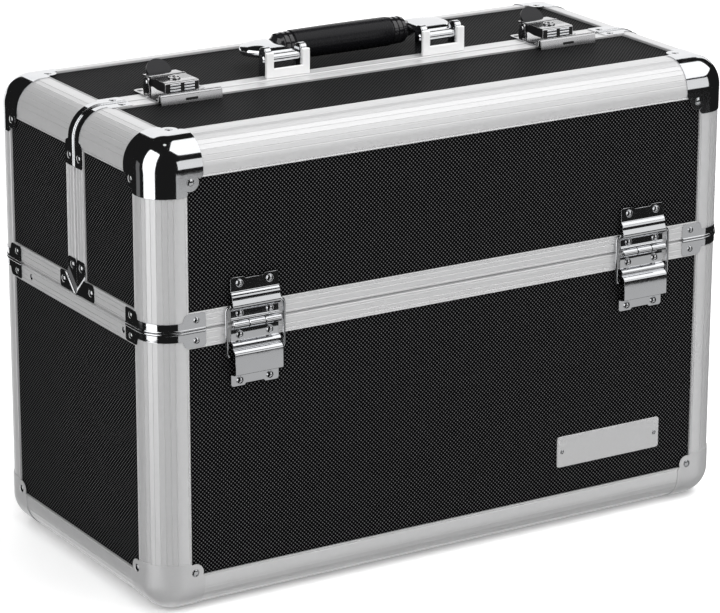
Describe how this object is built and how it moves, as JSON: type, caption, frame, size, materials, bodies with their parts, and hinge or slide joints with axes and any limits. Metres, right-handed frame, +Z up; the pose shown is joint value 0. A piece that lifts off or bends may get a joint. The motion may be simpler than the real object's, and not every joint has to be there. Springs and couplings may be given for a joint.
{
  "type": "makeup train case",
  "caption": "Aluminium-framed makeup train case: a deep base under two hinged top wings that swing out and lift stepped trays, with latches, locks and a folding handle.",
  "frame": {"origin": "on the floor, in the middle of the case's width and depth", "axes": "+X to the right along the case's length, +Y to the rear, +Z up"},
  "size_m": [0.4472, 0.237, 0.3381],
  "materials": {
    "laminate": "black laminate embossed with fine diamonds",
    "frame": "satin anodised, ribbed along its length",
    "bright": "polished nickel plate",
    "corner": "matte silver",
    "grip": "gloss black",
    "tray": "black moulded plastic",
    "arm": "zinc plated",
    "mat": "soft black foam"
  },
  "bodies": {
    "base": {"base_front_panel": "laminate", "base_rear_panel": "laminate", "base_side_panels": "laminate", "base_bottom_panel": "laminate", "base_corner_profiles": "frame", "base_bottom_profiles": "frame", "base_rim_rails": "frame", "base_foot_corners": "corner", "base_rim_brackets": "bright", "floor_mat": "mat", "name_plate": "bright", "hinge_base_leaves": "bright", "hinge_pins": "bright", "tray_carriers": "arm"},
    "front_wing": {"front_wing_front_panel": "laminate", "front_wing_top_panel": "laminate", "front_wing_side_panels": "laminate", "front_wing_corner_profiles": "frame", "front_wing_top_profiles": "frame", "front_wing_rim_rails": "frame", "front_wing_split_rails": "frame", "front_wing_ball_corners": "bright", "front_wing_brackets": "bright", "front_wing_hinge_leaves": "bright", "front_wing_tray_pivots": "arm", "latch_keepers": "bright"},
    "rear_wing": {"rear_wing_rear_panel": "laminate", "rear_wing_top_panel": "laminate", "rear_wing_side_panels": "laminate", "rear_wing_corner_profiles": "frame", "rear_wing_top_profiles": "frame", "rear_wing_rim_rails": "frame", "rear_wing_split_rails": "frame", "rear_wing_ball_corners": "bright", "rear_wing_brackets": "bright", "rear_wing_hinge_leaves": "bright", "rear_wing_tray_pivots": "arm", "latch_bases": "bright", "latch_pins": "bright", "handle_brackets": "bright", "handle_pins": "bright"},
    "front_stay_rings": {"front_stay_rings": "bright"},
    "front_upper_tray": {"front_upper_tray": "tray"},
    "front_lift_arms": {"front_lift_arms": "arm"},
    "front_lower_tray": {"front_lower_tray": "tray"},
    "front_lower_links": {"front_lower_links": "arm"},
    "rear_stay_rings": {"rear_stay_rings": "bright"},
    "rear_upper_tray": {"rear_upper_tray": "tray"},
    "rear_lift_arms": {"rear_lift_arms": "arm"},
    "rear_lower_tray": {"rear_lower_tray": "tray"},
    "rear_lower_links": {"rear_lower_links": "arm"},
    "handle": {"handle_grip": "grip", "handle_arms": "bright"},
    "left_latch": {"left_latch_lever": "bright"},
    "left_lock": {"left_lock_plug": "bright"},
    "right_latch": {"right_latch_lever": "bright"},
    "right_lock": {"right_lock_plug": "bright"}
  },
  "joints": [
    {"name": "front_wing_hinge", "type": "hinge", "parent": "base", "child": "front_wing", "pos_m": [0, -0.1145, 0.192], "axis": [1, 0, 0], "range_deg": [0, 95]},
    {"name": "front_ring_pivot", "type": "hinge", "parent": "front_wing", "child": "front_stay_rings", "pos_m": [0, -0.1132, 0.204], "axis": [1, 0, 0], "range_deg": [-71.25, 0]},
    {"name": "front_upper_tray_pivot", "type": "hinge", "parent": "front_wing", "child": "front_upper_tray", "pos_m": [0, -0.0605, 0.214], "axis": [1, 0, 0], "range_deg": [-95, 0]},
    {"name": "front_lift_arm_pivot", "type": "hinge", "parent": "base", "child": "front_lift_arms", "pos_m": [0, -0.092, 0.184], "axis": [1, 0, 0], "range_deg": [0, 95]},
    {"name": "front_lower_tray_pivot", "type": "hinge", "parent": "front_lift_arms", "child": "front_lower_tray", "pos_m": [0, -0.058, 0.189], "axis": [1, 0, 0], "range_deg": [-95, 0]},
    {"name": "front_lower_link_pivot", "type": "hinge", "parent": "base", "child": "front_lower_links", "pos_m": [0, -0.047, 0.184], "axis": [1, 0, 0], "range_deg": [0, 95]},
    {"name": "rear_wing_hinge", "type": "hinge", "parent": "base", "child": "rear_wing", "pos_m": [0, 0.1145, 0.192], "axis": [-1, 0, 0], "range_deg": [0, 95]},
    {"name": "rear_ring_pivot", "type": "hinge", "parent": "rear_wing", "child": "rear_stay_rings", "pos_m": [0, 0.1132, 0.204], "axis": [-1, 0, 0], "range_deg": [-71.25, 0]},
    {"name": "rear_upper_tray_pivot", "type": "hinge", "parent": "rear_wing", "child": "rear_upper_tray", "pos_m": [0, 0.0605, 0.214], "axis": [-1, 0, 0], "range_deg": [-95, 0]},
    {"name": "rear_lift_arm_pivot", "type": "hinge", "parent": "base", "child": "rear_lift_arms", "pos_m": [0, 0.092, 0.184], "axis": [-1, 0, 0], "range_deg": [0, 95]},
    {"name": "rear_lower_tray_pivot", "type": "hinge", "parent": "rear_lift_arms", "child": "rear_lower_tray", "pos_m": [0, 0.058, 0.189], "axis": [-1, 0, 0], "range_deg": [-95, 0]},
    {"name": "rear_lower_link_pivot", "type": "hinge", "parent": "base", "child": "rear_lower_links", "pos_m": [0, 0.047, 0.184], "axis": [-1, 0, 0], "range_deg": [0, 95]},
    {"name": "handle_fold", "type": "hinge", "parent": "rear_wing", "child": "handle", "pos_m": [0, 0.00335, 0.3281], "axis": [1, 0, 0], "range_deg": [0, 100]},
    {"name": "left_latch_lift", "type": "hinge", "parent": "rear_wing", "child": "left_latch", "pos_m": [-0.147, 0.00915, 0.3226], "axis": [-1, 0, 0], "range_deg": [0, 50]},
    {"name": "left_lock_turn", "type": "hinge", "parent": "left_latch", "child": "left_lock", "pos_m": [-0.147, -0.00265, 0.3261], "axis": [0, 0, 1], "range_deg": [0, 90]},
    {"name": "right_latch_lift", "type": "hinge", "parent": "rear_wing", "child": "right_latch", "pos_m": [0.147, 0.00915, 0.3226], "axis": [-1, 0, 0], "range_deg": [0, 50]},
    {"name": "right_lock_turn", "type": "hinge", "parent": "right_latch", "child": "right_lock", "pos_m": [0.147, -0.00265, 0.3261], "axis": [0, 0, 1], "range_deg": [0, 90]}
  ],
  "couplings": [
    {"joint": "front_ring_pivot", "follows": "front_wing_hinge", "ratio": -0.75},
    {"joint": "front_upper_tray_pivot", "follows": "front_wing_hinge", "ratio": -1},
    {"joint": "front_lift_arm_pivot", "follows": "front_wing_hinge", "ratio": 1},
    {"joint": "front_lower_tray_pivot", "follows": "front_wing_hinge", "ratio": -1},
    {"joint": "front_lower_link_pivot", "follows": "front_wing_hinge", "ratio": 1},
    {"joint": "rear_ring_pivot", "follows": "rear_wing_hinge", "ratio": -0.75},
    {"joint": "rear_upper_tray_pivot", "follows": "rear_wing_hinge", "ratio": -1},
    {"joint": "rear_lift_arm_pivot", "follows": "rear_wing_hinge", "ratio": 1},
    {"joint": "rear_lower_tray_pivot", "follows": "rear_wing_hinge", "ratio": -1},
    {"joint": "rear_lower_link_pivot", "follows": "rear_wing_hinge", "ratio": 1}
  ]
}
